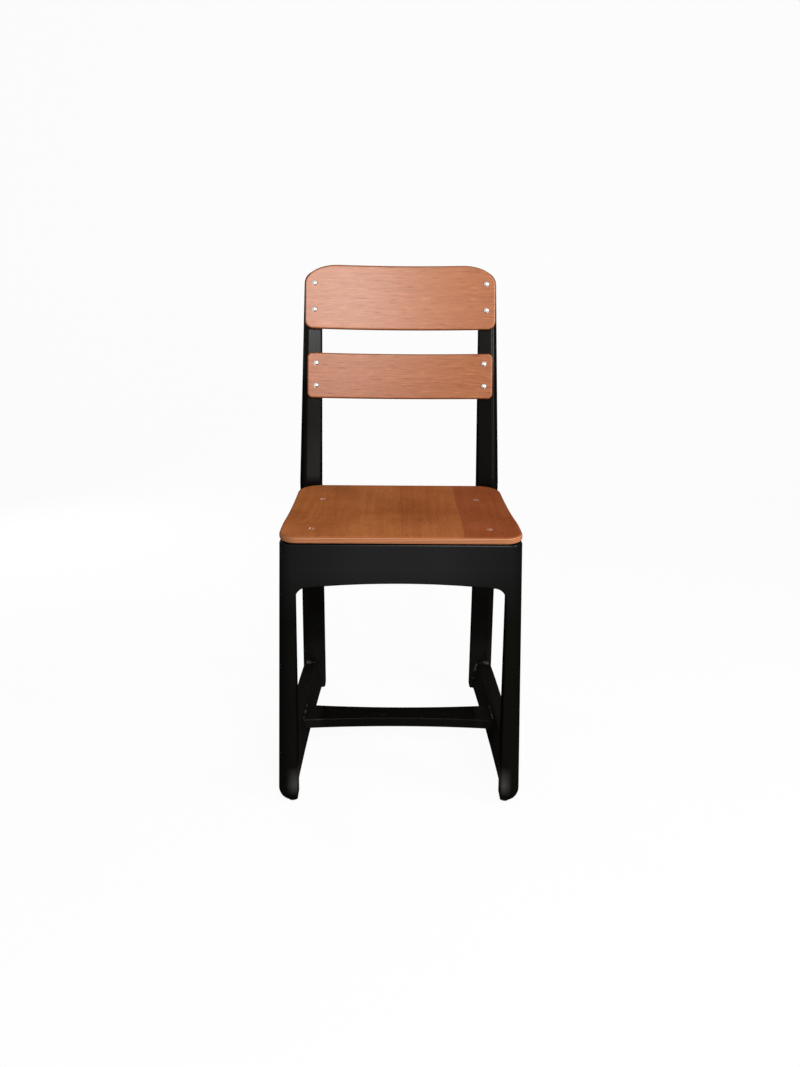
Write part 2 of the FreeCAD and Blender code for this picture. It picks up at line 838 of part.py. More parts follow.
def make_seat_rail(post, screw_holes):
    body = make_body("seat_rail_blank")
    step = S.rail_notch_y + S.weld_gap
    rear = S.rail_rear_y
    bottom = S.apron_top - S.rail_height
    flange_top = S.seat_thickness + S.fit_gap
    flange_bottom = flange_top + S.sheet_steel
    upper = seat_curve(step, rear, flange_top)
    lower = seat_curve(step, rear, flange_bottom)
    flange = add_sketch(body, "rail_flange_outline", "YZ_Plane", upper + backward(lower), RAIL_INNER)
    add_extrusion(body, "Pad", "rail_flange", flange, RAIL_OUTER - RAIL_INNER)
    tongue_top = S.apron_top - S.sheet_steel
    web = add_sketch(body, "rail_web_outline", "YZ_Plane", upper + [
        (rear, bottom),
        (S.rail_front_y, bottom),
        (S.rail_front_y, tongue_top),
        (step, tongue_top),
    ], RAIL_OUTER - S.sheet_steel)
    add_extrusion(body, "Pad", "rail_web", web, S.sheet_steel)
    lip = add_sketch(body, "rail_lip_outline", "YZ_Plane", [
        (S.rail_front_y, bottom),
        (rear, bottom),
        (rear, bottom + S.sheet_steel),
        (S.rail_front_y, bottom + S.sheet_steel),
    ], RAIL_OUTER - S.rail_lip)
    add_extrusion(body, "Pad", "rail_lip", lip, S.rail_lip)
    return cut("right_seat_rail", body, post, screw_holes)


def make_cross_rail():
    """The channel between the rear posts, under the back of the seat."""
    body = make_body("rear_seat_rail")
    front = S.cross_rail_y
    back = front + S.cross_rail_depth
    top = S.apron_top - S.cross_rail_drop
    bottom = top - S.cross_rail_height
    wall = S.sheet_steel
    section = add_sketch(body, "cross_rail_section", "YZ_Plane", [
        (front, bottom),
        (back, bottom),
        (back, bottom + wall),
        (front + wall, bottom + wall),
        (front + wall, top - wall),
        (back, top - wall),
        (back, top),
        (front, top),
    ])
    add_extrusion(body, "Pad", "cross_rail_channel", section, S.post_inner * 2, both_ways=True)
    add_fillet(body, "cross_rail_outer_bends", S.cross_rail_round, lambda middle, edge:
               along(edge, (1, 0, 0)) and near(middle.y, front))
    add_fillet(body, "cross_rail_inner_bends", S.cross_rail_round - wall, lambda middle, edge:
               along(edge, (1, 0, 0)) and near(middle.y, front + wall))
    return body


# Back slats: bent plywood, riveted to the faces of the posts

def post_face_depth(half_span):
    """How far the post's face has come forward at a distance from the middle."""
    return (half_span - S.post_inner) * tangent(S.slat_turn)


def cut_corner(body, name, side, half_width, top):
    """Cut off a slat's top corner in two arcs: a tight one at the side and a wide one along the top."""
    across = S.upper_slat_corner_across
    drop = S.upper_slat_corner_drop
    tight = S.upper_slat_side_round
    wide = (across * across + drop * drop - across * tight * 2) / ((drop - tight) * 2)
    share = tight / (wide - tight)
    turn_x = half_width - tight + (across - tight) * share
    turn_z = top - drop + (wide - drop) * share
    outline = add_sketch(body, f"{name}_outline", "XZ_Plane", [
        (half_width * side, top - drop, tight * side),
        (turn_x * side, turn_z, wide * side),
        ((half_width - across) * side, top),
        ((half_width - across) * side, top + drop),
        ((half_width + across) * side, top + drop),
        ((half_width + across) * side, top - drop),
    ])
    add_extrusion(body, "Pocket", name, outline, both_ways=True)


def make_slat(name, start, height, half_width, corner, half_span, rivet_holes, wide_corners):
    body = make_body(f"{name}_board", y=S.front_line + S.post_bend_y, z=POST_BEND_Z)
    body.Placement.Rotation = FreeCAD.Rotation(FreeCAD.Vector(-1, 0, 0), S.recline.value)
    bind(body, "Placement.Rotation.Angle", S.recline)
    back_radius = half_span / sine(S.slat_turn) - S.fit_gap
    front_radius = back_radius - S.slat_thickness
    centre = -post_face_depth(half_span) - half_span / tangent(S.slat_turn)

    def edge_y(radius):
        return centre + root(radius * radius - half_width * half_width)

    section = add_sketch(body, f"{name}_section", "XY_Plane", [
        (-half_width, edge_y(front_radius), -front_radius),
        (half_width, edge_y(front_radius)),
        (half_width, edge_y(back_radius), back_radius),
        (-half_width, edge_y(back_radius)),
    ], start)
    add_extrusion(body, "Pad", f"{name}_blank", section, height)
    top = start + height
    if wide_corners:
        cut_corner(body, f"{name}_right_corner", 1, half_width, top)
        cut_corner(body, f"{name}_left_corner", -1, half_width, top)
    else:
        add_fillet(body, f"{name}_top_corners", corner, lambda middle, edge:
                   along(edge, (0, 1, 0)) and near(middle.z, top))
    add_fillet(body, f"{name}_bottom_corners", corner, lambda middle, edge:
               along(edge, (0, 1, 0)) and near(middle.z, start))
    add_fillet(body, f"{name}_edges", S.slat_edge_round, lambda middle, edge: near(middle.x, 0))
    return cut(name, body, rivet_holes)


# Fasteners and glides

RIVET_STACK = S.slat_thickness + S.sheet_steel + S.fit_gap * 3
SCREW_STACK = S.seat_thickness + S.sheet_steel + S.fit_gap * 3


def rivet_places(half_span, heights):
    """Where the rivets' heads sit on the slat, each with its Z axis towards the sitter."""
    corner = FreeCAD.Vector(0, S.front_line.value + S.post_bend_y.value, POST_BEND_Z.value)
    back = FreeCAD.Placement(corner, FreeCAD.Rotation(FreeCAD.Vector(1, 0, 0), -S.recline.value))
    places = []
    for height in heights:
        for side in (1, -1):
            forward = FreeCAD.Vector(-side * sine(S.slat_turn).value, -cosine(S.slat_turn).value, 0)
            on_face = FreeCAD.Vector(side * half_span.value, -post_face_depth(half_span).value, height.value)
            head = on_face + forward * (S.slat_thickness + S.fit_gap * 2).value
            turn = FreeCAD.Rotation(FreeCAD.Vector(0, 0, 1), forward)
            places.append(back.multiply(FreeCAD.Placement(head, turn)))
    return places


def screw_places():
    """Where the screws' heads sit on the seat, each with its Z axis square to the seat."""
    places = []
    for inset, y in ((S.screw_front_inset, S.screw_front_y), (S.screw_rear_inset, S.screw_rear_y)):
        level = seat_level(y, as_size(0)) + S.fit_gap
        for side in (1, -1):
            place = upright((RAIL_OUTER - inset) * side, S.front_line + y, level)
            place.Rotation = FreeCAD.Rotation(FreeCAD.Vector(-1, 0, 0), seat_lean(y))
            places.append(place)
    for place, slot_turn in zip(places, SCREW_SLOT_TURNS):
        place.Rotation = place.Rotation.multiply(FreeCAD.Rotation(FreeCAD.Vector(0, 0, 1), slot_turn))
    return places


def make_rivet():
    head = S.rivet_head_diameter / 2
    shank = S.rivet_diameter / 2
    clinch = S.rivet_clinch_diameter / 2
    clinch_top = -(RIVET_STACK + S.washer_thickness + S.fit_gap)
    clinch_end = clinch_top - S.rivet_clinch_height
    return turned("rivet_pattern", [
        (0, clinch_end),
        (clinch, clinch_end),
        (clinch, clinch_top),
        (shank, clinch_top),
        (shank, 0),
        (head, 0, dome_radius(head, S.rivet_head_height)),
        (0, S.rivet_head_height),
    ])


def make_washer(name, bore):
    inner = (bore + S.hole_clearance) / 2
    outer = S.washer_diameter / 2
    return turned(name, [
        (inner, -S.washer_thickness),
        (outer, -S.washer_thickness),
        (outer, 0),
        (inner, 0),
    ])


def make_screw():
    head = S.screw_head_diameter / 2
    shank = S.screw_diameter / 2
    end = -(SCREW_STACK + S.washer_thickness + S.nut_height + S.screw_end)
    blank = turned("screw_blank", [
        (0, end),
        (shank, end),
        (shank, 0),
        (head, 0, dome_radius(head, S.screw_head_height)),
        (0, S.screw_head_height),
    ])
    slot = doc.addObject("Part::Box", "screw_slot")
    bind(slot, "Length", S.screw_head_diameter)
    bind(slot, "Width", S.screw_slot_width)
    bind(slot, "Height", S.screw_slot_depth)
    bind(slot, "Placement.Base.x", -S.screw_head_diameter / 2)
    bind(slot, "Placement.Base.y", -S.screw_slot_width / 2)
    bind(slot, "Placement.Base.z", S.screw_head_height - S.screw_slot_depth)
    return cut("screw_pattern", blank, slot)


def make_nut():
    """A plain hexagon nut, with its top face at the origin."""
    prism = doc.addObject("Part::Prism", "nut_blank")
    prism.Polygon = 6
    bind(prism, "Circumradius", S.nut_across_flats / root(as_size(3)))
    bind(prism, "Height", S.nut_height)
    bind(prism, "Placement.Base.z", -S.nut_height)
    bore = make_drill("nut_bore", S.screw_diameter + S.hole_clearance, S.nut_height, [FreeCAD.Placement()])
    return cut("nut_pattern", prism, bore)


def make_glide():
    pad = S.glide_diameter / 2
    stem = S.glide_stem_diameter / 2
    top = S.foot_lift + S.glide_stem_length
    return turned("glide_pattern", [
        (0, 0),
        (pad - S.glide_round, 0, S.glide_round),
        (pad, S.glide_round),
        (pad, S.foot_lift),
        (stem, S.foot_lift),
        (stem, top),
        (0, top),
    ])


def check_and_write(nodes):
    """Stop if anything failed or is not a sound solid, then write each node's file."""
    doc.recompute()
    for item in doc.Objects:
        if "Invalid" in item.State or "Error" in item.State:
            raise RuntimeError(f"{item.Label} failed: {item.State}")
    for node in nodes:
        if node.Shape.isNull() or not node.Shape.isValid() or not node.Shape.Solids:
            raise RuntimeError(f"{node.Label} is not a sound solid")
    os.makedirs("parts", exist_ok=True)
    for node in nodes:
        node.Shape.exportStep(f"parts/{node.Label}.step")


def build():
    nothing = as_size(0)
    stem_hole = S.glide_stem_diameter + S.hole_clearance
    front_x = (S.leg_inner + S.toe_inner_round + FOOT_HALF_WIDTH - S.toe_round) / 2
    front_y = S.front_line - S.leg_reach + (S.toe_round + S.foot_depth) / 2
    rear_x = (S.post_inner + S.post_outer_ankle - S.heel_round) / 2
    rear_y = S.front_line + S.heel_y + S.post_depth_floor / 2
    front_glides = [upright(front_x * side, front_y, nothing) for side in (1, -1)]
    rear_glides = [upright(rear_x * side, rear_y, nothing) for side in (1, -1)]
    stem_top = S.foot_lift + S.glide_stem_length
    front_stems = make_drill("front_stem_holes", stem_hole, stem_top, moved_along(front_glides, stem_top))
    rear_stems = make_drill("rear_stem_holes", stem_hole, stem_top, moved_along(rear_glides, stem_top))

    rivet_hole = S.rivet_diameter + S.hole_clearance
    upper_rows = [S.upper_slat_start + S.upper_rivet_low, S.upper_slat_start + S.upper_rivet_high]
    lower_rows = [S.lower_slat_start + S.lower_rivet_low, S.lower_slat_start + S.lower_rivet_high]
    upper_rivets = rivet_places(S.upper_rivet_half_span, upper_rows)
    lower_rivets = rivet_places(S.lower_rivet_half_span, lower_rows)
    upper_holes = make_drill("upper_rivet_holes", rivet_hole, RIVET_STACK, upper_rivets)
    lower_holes = make_drill("lower_rivet_holes", rivet_hole, RIVET_STACK, lower_rivets)

    screws = screw_places()
    screw_holes = make_drill("screw_holes", S.screw_diameter + S.hole_clearance, SCREW_STACK, screws)

    front_frame = cut("front_frame", front_form("front_form", nothing),
                      front_form("front_hollow", S.sheet_steel), flange_trim(), front_stems,
                      rail_notch("right_rail_notch", 1), rail_notch("left_rail_notch", -1))
    post = post_form("post_form", nothing)
    right_post = cut("right_rear_post", post, post_form("post_hollow", S.sheet_steel),
                     upper_holes, lower_holes, rear_stems)
    runner = runner_form("runner_form", nothing)
    right_runner = cut("right_runner", runner, runner_form("runner_hollow", S.sheet_steel), post)
    right_rail = make_seat_rail(post, screw_holes)
    nodes = [
        front_frame,
        right_post,
        make_mirror("left_rear_post", right_post),
        right_runner,
        make_mirror("left_runner", right_runner),
        make_stretcher(),
        right_rail,
        make_mirror("left_seat_rail", right_rail),
        make_cross_rail(),
        make_seat(screw_holes),
        make_slat("upper_slat", S.upper_slat_start, S.upper_slat_height, S.upper_slat_half_width,
                  S.upper_slat_bottom_corner, S.upper_rivet_half_span, upper_holes, wide_corners=True),
        make_slat("lower_slat", S.lower_slat_start, S.lower_slat_height, S.lower_slat_half_width,
                  S.lower_slat_corner, S.lower_rivet_half_span, lower_holes, wide_corners=False),
    ]

    rivet = make_rivet()
    rivet_washer = make_washer("rivet_washer_pattern", S.rivet_diameter)
    screw_washer = make_washer("screw_washer_pattern", S.screw_diameter)
    nut_depth = -(SCREW_STACK + S.washer_thickness + S.fit_gap)
    nodes += [
        group_of("upper_slat_rivets", rivet, upper_rivets),
        group_of("lower_slat_rivets", rivet, lower_rivets),
        group_of("upper_rivet_washers", rivet_washer, moved_along(upper_rivets, -RIVET_STACK)),
        group_of("lower_rivet_washers", rivet_washer, moved_along(lower_rivets, -RIVET_STACK)),
        group_of("seat_screws", make_screw(), screws),
        group_of("seat_screw_washers", screw_washer, moved_along(screws, -SCREW_STACK)),
        group_of("seat_screw_nuts", make_nut(), moved_along(screws, nut_depth)),
    ]
    glide = make_glide()
    for side, front_place, rear_place in zip(("right", "left"), front_glides, rear_glides):
        nodes.append(group_of(f"{side}_front_glide", glide, [front_place]))
        nodes.append(group_of(f"{side}_rear_glide", glide, [rear_place]))
    check_and_write(nodes)
    return nodes


build()
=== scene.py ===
"""School chair: plywood boards, welds, finishes, floor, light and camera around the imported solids. Metres."""
import bmesh
import bpy
import json
import math
from mathutils import Matrix, Vector


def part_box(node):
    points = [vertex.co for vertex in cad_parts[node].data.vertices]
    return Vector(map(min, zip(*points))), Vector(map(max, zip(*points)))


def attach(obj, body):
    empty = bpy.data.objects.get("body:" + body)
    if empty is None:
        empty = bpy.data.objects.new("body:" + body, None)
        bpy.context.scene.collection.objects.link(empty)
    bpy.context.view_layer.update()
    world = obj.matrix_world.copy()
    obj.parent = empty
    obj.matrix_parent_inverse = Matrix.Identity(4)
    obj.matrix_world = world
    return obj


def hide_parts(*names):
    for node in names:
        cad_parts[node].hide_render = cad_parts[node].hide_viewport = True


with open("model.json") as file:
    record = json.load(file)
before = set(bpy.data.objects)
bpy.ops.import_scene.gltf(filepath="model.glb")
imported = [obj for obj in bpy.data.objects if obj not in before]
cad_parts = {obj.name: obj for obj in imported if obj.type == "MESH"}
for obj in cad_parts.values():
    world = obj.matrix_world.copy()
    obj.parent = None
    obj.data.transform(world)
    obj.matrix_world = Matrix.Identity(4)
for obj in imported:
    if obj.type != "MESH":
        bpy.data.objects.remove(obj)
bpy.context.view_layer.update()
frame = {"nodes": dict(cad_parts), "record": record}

# The chair's back: where the posts bend, how far they lean, and how far the slats turn at the rivets
SEAT_OVERHANG = 0.006
APRON_FACE_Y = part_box("seat")[0].y + SEAT_OVERHANG
POST_BEND = Vector((0, APRON_FACE_Y + 0.369, 0.424))
RECLINE = math.radians(13.3)
SLAT_TURN = math.radians(10)
SLAT_THICKNESS = 0.009
SLAT_EDGE_ROUND = 0.003
POST_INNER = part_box("right_rear_post")[0].x
FIT_GAP = 0.0001

# Seat profile: a crown near the front that hands over to a dish
SEAT_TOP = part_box("seat")[1].z
SEAT_THICKNESS = 0.011
SEAT_EDGE_ROUND = 0.004
SEAT_CROWN_Y = APRON_FACE_Y + 0.050
SEAT_CROWN_RADIUS = 0.5
SEAT_DISH_Y = APRON_FACE_Y + 0.270
SEAT_DISH_DEPTH = 0.009
SEAT_SPAN = SEAT_DISH_Y - SEAT_CROWN_Y
SEAT_RADII = (SEAT_SPAN ** 2 + SEAT_DISH_DEPTH ** 2) / (SEAT_DISH_DEPTH * 2)
SEAT_DISH_RADIUS = SEAT_RADII - SEAT_CROWN_RADIUS

# How finely the boards are cut so that they bend smoothly, and the two axes of a flat board
BOARD_STEP = 0.008
ROUND_SEGMENTS = 6
CORNER_SEGMENTS = 18
RIM_SUPPORT = 0.0012
ACROSS = 0
ALONG = 1

# Welds: the beads' radii, the length of a ripple, and the strength of the painted highlight on them
STRETCHER_BEAD = 0.0022
RUNNER_TOP_BEAD = 0.005
RUNNER_WALL_BEAD = 0.0042
WELD_RIPPLE = 0.0015
WELD_HIGHLIGHT_SHARE = 0.8

# The runner is met this far ahead of the rear post's face, and the bead lies half as far ahead
AHEAD_OF_POST = Vector((0, -0.003, 0))

# Attributes of the new pieces that their finishes read, one of them the strength of the welds' painted
# highlight, and the number of dark plies in a board
PLY_DEPTH = "ply_depth"
WELD_HIGHLIGHT = "weld_painted_highlight"
PLY_COUNT = 5


class Value:
    """An output of a node, whose operators add Math nodes; a | b is the greater of the two."""

    def __init__(self, finish, socket):
        self.finish = finish
        self.socket = socket

    def maths(self, operation, *numbers):
        """Add a Math node on some numbers or values."""
        return self.finish.node("Math", dict(enumerate(numbers)), operation=operation)

    def __add__(self, other):
        return self.maths("ADD", self, other)

    def __radd__(self, other):
        return self.maths("ADD", other, self)

    def __sub__(self, other):
        return self.maths("SUBTRACT", self, other)

    def __rsub__(self, other):
        return self.maths("SUBTRACT", other, self)

    def __mul__(self, other):
        return self.maths("MULTIPLY", self, other)

    def __rmul__(self, other):
        return self.maths("MULTIPLY", other, self)

    def __pow__(self, other):
        return self.maths("POWER", self, other)

    def __or__(self, other):
        return self.maths("MAXIMUM", self, other)

    def __abs__(self):
        return self.maths("ABSOLUTE", self)


class Finish:
    """The nodes of a material or of the world."""

    def __init__(self, owner):
        self.owner = owner
        owner.use_nodes = True
        self.tree = owner.node_tree
        self.tree.nodes.clear()

    def node(self, kind, inputs, output=0, stops=None, **settings):
        """Add a node: its settings first, then the values or links of its sockets."""
        made = self.tree.nodes.new("ShaderNode" + kind)
        for name, setting in settings.items():
            setattr(made, name, setting)
        if stops:
            elements = made.color_ramp.elements
            while len(elements) < len(stops):
                elements.new(1)
            for element, (position, colour) in zip(elements, stops):
                element.position = position
                element.color = (*colour, 1)
        for name, given in inputs.items():
            if isinstance(given, Value):
                self.tree.links.new(given.socket, made.inputs[name])
            else:
                made.inputs[name].default_value = given
        return Value(self, made.outputs[output]) if made.outputs else None

    def along(self, axis):
        """One of the object coordinates."""
        where = self.node("TexCoord", {}, output="Object")
        return self.node("SeparateXYZ", {"Vector": where}, output=axis)

    def attribute(self, name):
        """A number that a piece's mesh holds, or 0 on a piece that has none."""
        return self.node("Attribute", {}, output="Fac", attribute_name=name)

    def noise(self, scale, shift=(0, 0, 0), detail=3.0, roughness=0.5):
        """Cloudy noise with so many features to the metre along each axis."""
        where = self.node("TexCoord", {}, output="Object")
        place = self.node("Mapping", {"Vector": where, "Scale": scale, "Location": shift})
        return self.node("TexNoise", {"Vector": place, "Scale": 1.0,
                                      "Detail": detail, "Roughness": roughness})

    def between(self, number, low, high, to_low=0.0, to_high=1.0):
        """Stretch a number from one range to another and clamp it."""
        return self.node("MapRange", {"Value": number, "From Min": low, "From Max": high,
                                      "To Min": to_low, "To Max": to_high})

    def until(self, number, low, high):
        """1 where a number is under low, fading to 0 where it is over high."""
        return self.between(number, low, high, 1, 0)

    def mix(self, share, first, second, blend_type="MIX"):
        """Mix a share of a second colour into the first."""
        return self.node("MixRGB", {"Fac": share, "Color1": first, "Color2": second}, blend_type=blend_type)

    def bump(self, height, distance):
        """A normal from a height, whose unit is a distance in metres."""
        return self.node("Bump", {"Height": height, "Distance": distance})

    def gloss(self, weight):
        """Coat weight that fades at a glancing view, where a lacquer would only mirror the pale room."""
        away = self.node("LayerWeight", {"Blend": 0.5}, output="Facing")
        return (1 - away) ** 2 * weight

    def seen(self):
        """1 for a ray that looks, straight, by reflection or through glass; 0 for one that only lights."""
        camera = self.node("LightPath", {}, output="Is Camera Ray")
        glossy = self.node("LightPath", {}, output="Is Glossy Ray")
        transmission = self.node("LightPath", {}, output="Is Transmission Ray")
        return camera | glossy | transmission

    def finish_with(self, **inputs):
        """Close the material with a Principled shader."""
        names = {name.replace("_", " "): given for name, given in inputs.items()}
        shader = self.node("BsdfPrincipled", names)
        self.node("OutputMaterial", {"Surface": shader})
        return self.owner


def new_finish(name):
    """The empty nodes of a new material."""
    return Finish(bpy.data.materials.new(name))


def rgba(red, green, blue):
    """An opaque colour."""
    return (red, green, blue, 1)


def plies(finish, face, pale, dark):
    """The board's face colour with the plies' cut ends where the edge is rounded off, and where those are."""
    depth = finish.attribute(PLY_DEPTH)
    layer = finish.node("Math", {0: depth * PLY_COUNT}, operation="FRACT")
    pale_layer = finish.between(abs(layer - 0.5), 0.2, 0.3)
    ply = finish.mix(pale_layer, dark, pale)
    inside = finish.between(depth, 0.05, 0.1) * finish.until(depth, 0.9, 0.95)
    return finish.mix(inside, face, ply), inside


def back_plywood():
    """Red-brown lacquered veneer with its grain across the chair, duller on the lower slat and darkened there
    by painted shade.
    """
    finish = new_finish("back_plywood")
    broad = finish.noise((9, 3, 26), detail=2)
    streak = finish.noise((5, 3, 150), detail=4, roughness=0.6)
    dashes = finish.noise((34, 5, 520), (3, 1, 7), detail=2, roughness=0.6)
    tone = streak * 0.45 + dashes * 0.55
    colour = finish.node("ValToRGB", {"Fac": tone}, stops=[
        (0.3, (0.305, 0.095, 0.034)),
        (0.5, (0.38, 0.127, 0.049)),
        (0.68, (0.445, 0.160, 0.067)),
    ])
    golden = finish.between(broad, 0.45, 0.65)
    colour = finish.mix(golden * 0.4, colour, rgba(0.37, 0.136, 0.045))
    flecks = finish.between(dashes, 0.58, 0.7)
    colour = finish.mix(flecks * 0.5, colour, rgba(0.52, 0.225, 0.105))
    pores = finish.until(dashes, 0.3, 0.38)
    colour = finish.mix(pores * 0.4, colour, rgba(0.2, 0.06, 0.022))
    # The lower slat has less coat, and painted shade darkens its colour.
    lower_slat_dull_and_shaded = finish.until(finish.along("Z"), 0.66, 0.7)
    colour = finish.mix(lower_slat_dull_and_shaded, colour, rgba(0.92, 0.9, 0.88), "MULTIPLY")
    colour, edge = plies(finish, colour, rgba(0.24, 0.09, 0.042), rgba(0.08, 0.026, 0.012))
    rough = 0.46 + broad * 0.1 + pores * 0.15 + edge * 0.12
    normal = finish.bump(streak * 0.3 - pores, 0.0001)
    shine = 0.75 - lower_slat_dull_and_shaded * 0.15 - pores * 0.3 - edge * 0.5
    return finish.finish_with(Base_Color=colour, Roughness=rough, Normal=normal, Specular_IOR_Level=0.0,
                              Coat_Weight=finish.gloss(shine), Coat_Roughness=0.34)


def seat_plywood():
    """Darker red-brown lacquered veneer, laid in strips with the grain from front to back."""
    finish = new_finish("seat_plywood")
    wander = finish.noise((2, 5, 2), detail=1)
    strip = finish.along("X") + (wander - 0.5) * 0.008
    broad = finish.noise((11, 8, 3), (4, 2, 0), detail=2)
    streak = finish.noise((120, 6, 3), detail=4, roughness=0.6)
    dashes = finish.noise((480, 60, 5), (3, 1, 7), detail=2, roughness=0.6)
    tone = streak * 0.35 + dashes * 0.25 + broad * 0.4
    colour = finish.node("ValToRGB", {"Fac": tone}, stops=[
        (0.34, (0.275, 0.082, 0.022)),
        (0.5, (0.35, 0.111, 0.032)),
        (0.66, (0.42, 0.147, 0.046)),
    ])
    patches = finish.between(finish.noise((7, 16, 4), (1, 6, 2), detail=1), 0.52, 0.68)
    colour = finish.mix(patches * 0.4, colour, rgba(0.28, 0.075, 0.017))
    seam_blend = 0.0015
    for seam, tint in ((0.0025, rgba(0.95, 0.9, 0.93)), (0.0955, rgba(0.83, 0.72, 0.82))):
        beyond = finish.between(strip, seam - seam_blend, seam + seam_blend)
        colour = finish.mix(beyond, colour, tint, "MULTIPLY")
        glue_line = finish.between(abs(strip - seam), 0.0006, 0.0018, 0.4, 0)
        colour = finish.mix(glue_line, colour, rgba(0.2, 0.055, 0.018))
    pores = finish.until(dashes, 0.3, 0.38)
    colour = finish.mix(pores * 0.3, colour, rgba(0.16, 0.042, 0.014))
    colour, edge = plies(finish, colour, rgba(0.46, 0.19, 0.085), rgba(0.22, 0.07, 0.026))
    rough = 0.44 + broad * 0.12 + pores * 0.15 + edge * 0.12
    normal = finish.bump(streak * 0.3 - pores, 0.0001)
    shine = 0.5 - pores * 0.2 - edge * 0.2
    return finish.finish_with(Base_Color=colour, Roughness=rough, Normal=normal, Specular_IOR_Level=0.0,
                              Coat_Weight=finish.gloss(shine), Coat_Roughness=0.4)


def black_enamel():
    """Semi-gloss black enamel: rubbed shiny in front and by the slats, with a painted bluish sheen on the
    apron, lighter low on the runners and rear feet, scuffed near the floor, and with painted highlights on the
    toes and welds.
    """
    finish = new_finish("black_enamel")
    height = finish.along("Z")
    off_middle = abs(finish.along("X"))
    cloud = finish.noise((14, 14, 9))
    peel = finish.noise((420, 420, 420), detail=1)
    scratch = finish.noise((90, 90, 700), (2, 5, 1), detail=2, roughness=0.7)
    patch_noise = finish.noise((60, 60, 60), (5, 2, 3), detail=1)
    forward = finish.until(finish.along("Y"), -0.215, -0.195)
    apron = forward * finish.between(height, 0.3, 0.38)
    rubbed_shine_and_painted_sheen = apron * finish.between(off_middle, 0.06, 0.18, 0.3, 0.12)
    handled = finish.between(height, 0.6, 0.65, 0, 0.12)
    # Painted highlight: a worn-looking grey patch on the inner side of each front toe.
    toe_highlight_width = finish.between(off_middle, 0.153, 0.160) * finish.until(off_middle, 0.164, 0.175)
    toe_highlight_height = finish.between(height, 0.018, 0.036) * finish.until(height, 0.038, 0.066)
    toe_highlight = toe_highlight_width * toe_highlight_height * forward
    # Lighter colour low on the runners and rear feet.
    runner = finish.until(height, 0.09, 0.12) * finish.between(off_middle, 0.13, 0.14)
    runners_lighter = runner * (1 - forward)
    scuff = finish.between(scratch, 0.6, 0.72) * finish.until(height, 0.02, 0.16)
    # Painted highlight: grey patches on the welds, wherever their vertices carry the weld attribute.
    patches = finish.attribute(WELD_HIGHLIGHT) * finish.between(patch_noise, 0.46, 0.64)
    colour = finish.mix(cloud, rgba(0.0017, 0.0015, 0.0009), rgba(0.0029, 0.0024, 0.0016))
    # Painted bluish sheen on the apron's colour, where the coat is also rubbed shiny.
    colour = finish.mix(rubbed_shine_and_painted_sheen * 2, colour, rgba(0.003, 0.0035, 0.0048))
    colour = finish.mix(runners_lighter, colour, rgba(0.0064, 0.0058, 0.0046))
    colour = finish.mix(scuff * 0.5, colour, rgba(0.022, 0.021, 0.02))
    # The painted highlights on the welds and toes, mixed in as a grey.
    colour = finish.mix(patches | toe_highlight * 0.42, colour, rgba(0.085, 0.083, 0.08))
    rough = 0.3 + cloud * 0.16 + scuff * 0.2
    normal = finish.bump(peel, 0.00006)
    shine = 0.04 + cloud * 0.06 + rubbed_shine_and_painted_sheen + handled - scuff * 0.06
    return finish.finish_with(Base_Color=colour, Roughness=rough, Normal=normal, Specular_IOR_Level=0.0,
                              Coat_Weight=finish.gloss(shine), Coat_Roughness=0.27)


def bright_rivet():
    """Bright nickel plating with fine handling marks."""
    finish = new_finish("bright_rivet")
    marks = finish.noise((260, 260, 260), detail=2)
    colour = finish.mix(marks, rgba(0.74, 0.72, 0.69), rgba(0.58, 0.56, 0.53))
    rough = 0.16 + marks * 0.12
    return finish.finish_with(Base_Color=colour, Roughness=rough, Metallic=1.0)


def dull_screw():
    """Dull coppery screw heads."""
    finish = new_finish("dull_screw")
    marks = finish.noise((500, 500, 500), roughness=0.7)
    colour = finish.mix(marks, rgba(0.42, 0.2, 0.12), rgba(0.26, 0.1, 0.05))
    rough = 0.34 + marks * 0.2
    return finish.finish_with(Base_Color=colour, Roughness=rough, Metallic=0.8)


def plated_steel():
    """Plain zinc plating on washers and nuts."""
    finish = new_finish("plated_steel")
    cloud = finish.noise((300, 300, 300))
    colour = finish.mix(cloud, rgba(0.55, 0.55, 0.54), rgba(0.4, 0.4, 0.41))
    rough = 0.3 + cloud * 0.25
    return finish.finish_with(Base_Color=colour, Roughness=rough, Metallic=1.0)


def glide_rubber():
    """Matt black rubber with a fine grain."""
    finish = new_finish("glide_rubber")
    grain = finish.noise((700, 700, 700))
    colour = finish.mix(grain, rgba(0.014, 0.014, 0.014), rgba(0.03, 0.03, 0.029))
    rough = 0.7 + grain * 0.2
    normal = finish.bump(grain, 0.00008)
    return finish.finish_with(Base_Color=colour, Roughness=rough, Normal=normal)


FINISHES = {make.__name__: make() for make in (
    black_enamel, back_plywood, seat_plywood, bright_rivet, dull_screw, plated_steel, glide_rubber)}


def dress_nodes():
    """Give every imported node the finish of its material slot."""
    for subpart in frame["record"]["subparts"]:
        node = frame["nodes"][subpart["node"]]
        node.data.materials.clear()
        node.data.materials.append(FINISHES[subpart["material_slot"]])


def new_object(name, mesh):
    """Turn a finished bmesh into an object at the origin."""
    data = bpy.data.meshes.new(name)
    mesh.to_mesh(data)
    mesh.free()
    made = bpy.data.objects.new(name, data)
    bpy.context.scene.collection.objects.link(made)
    return made


def only(kind, items):
    """The vertices, or the edges, among the items that an operator gives back."""
    return [item for item in items if isinstance(item, kind)]


def face_outwards(mesh):
    """Turn a closed mesh's faces outwards and shade them smooth."""
    bmesh.ops.recalc_face_normals(mesh, faces=mesh.faces[:])
    for face in mesh.faces:
        face.smooth = True


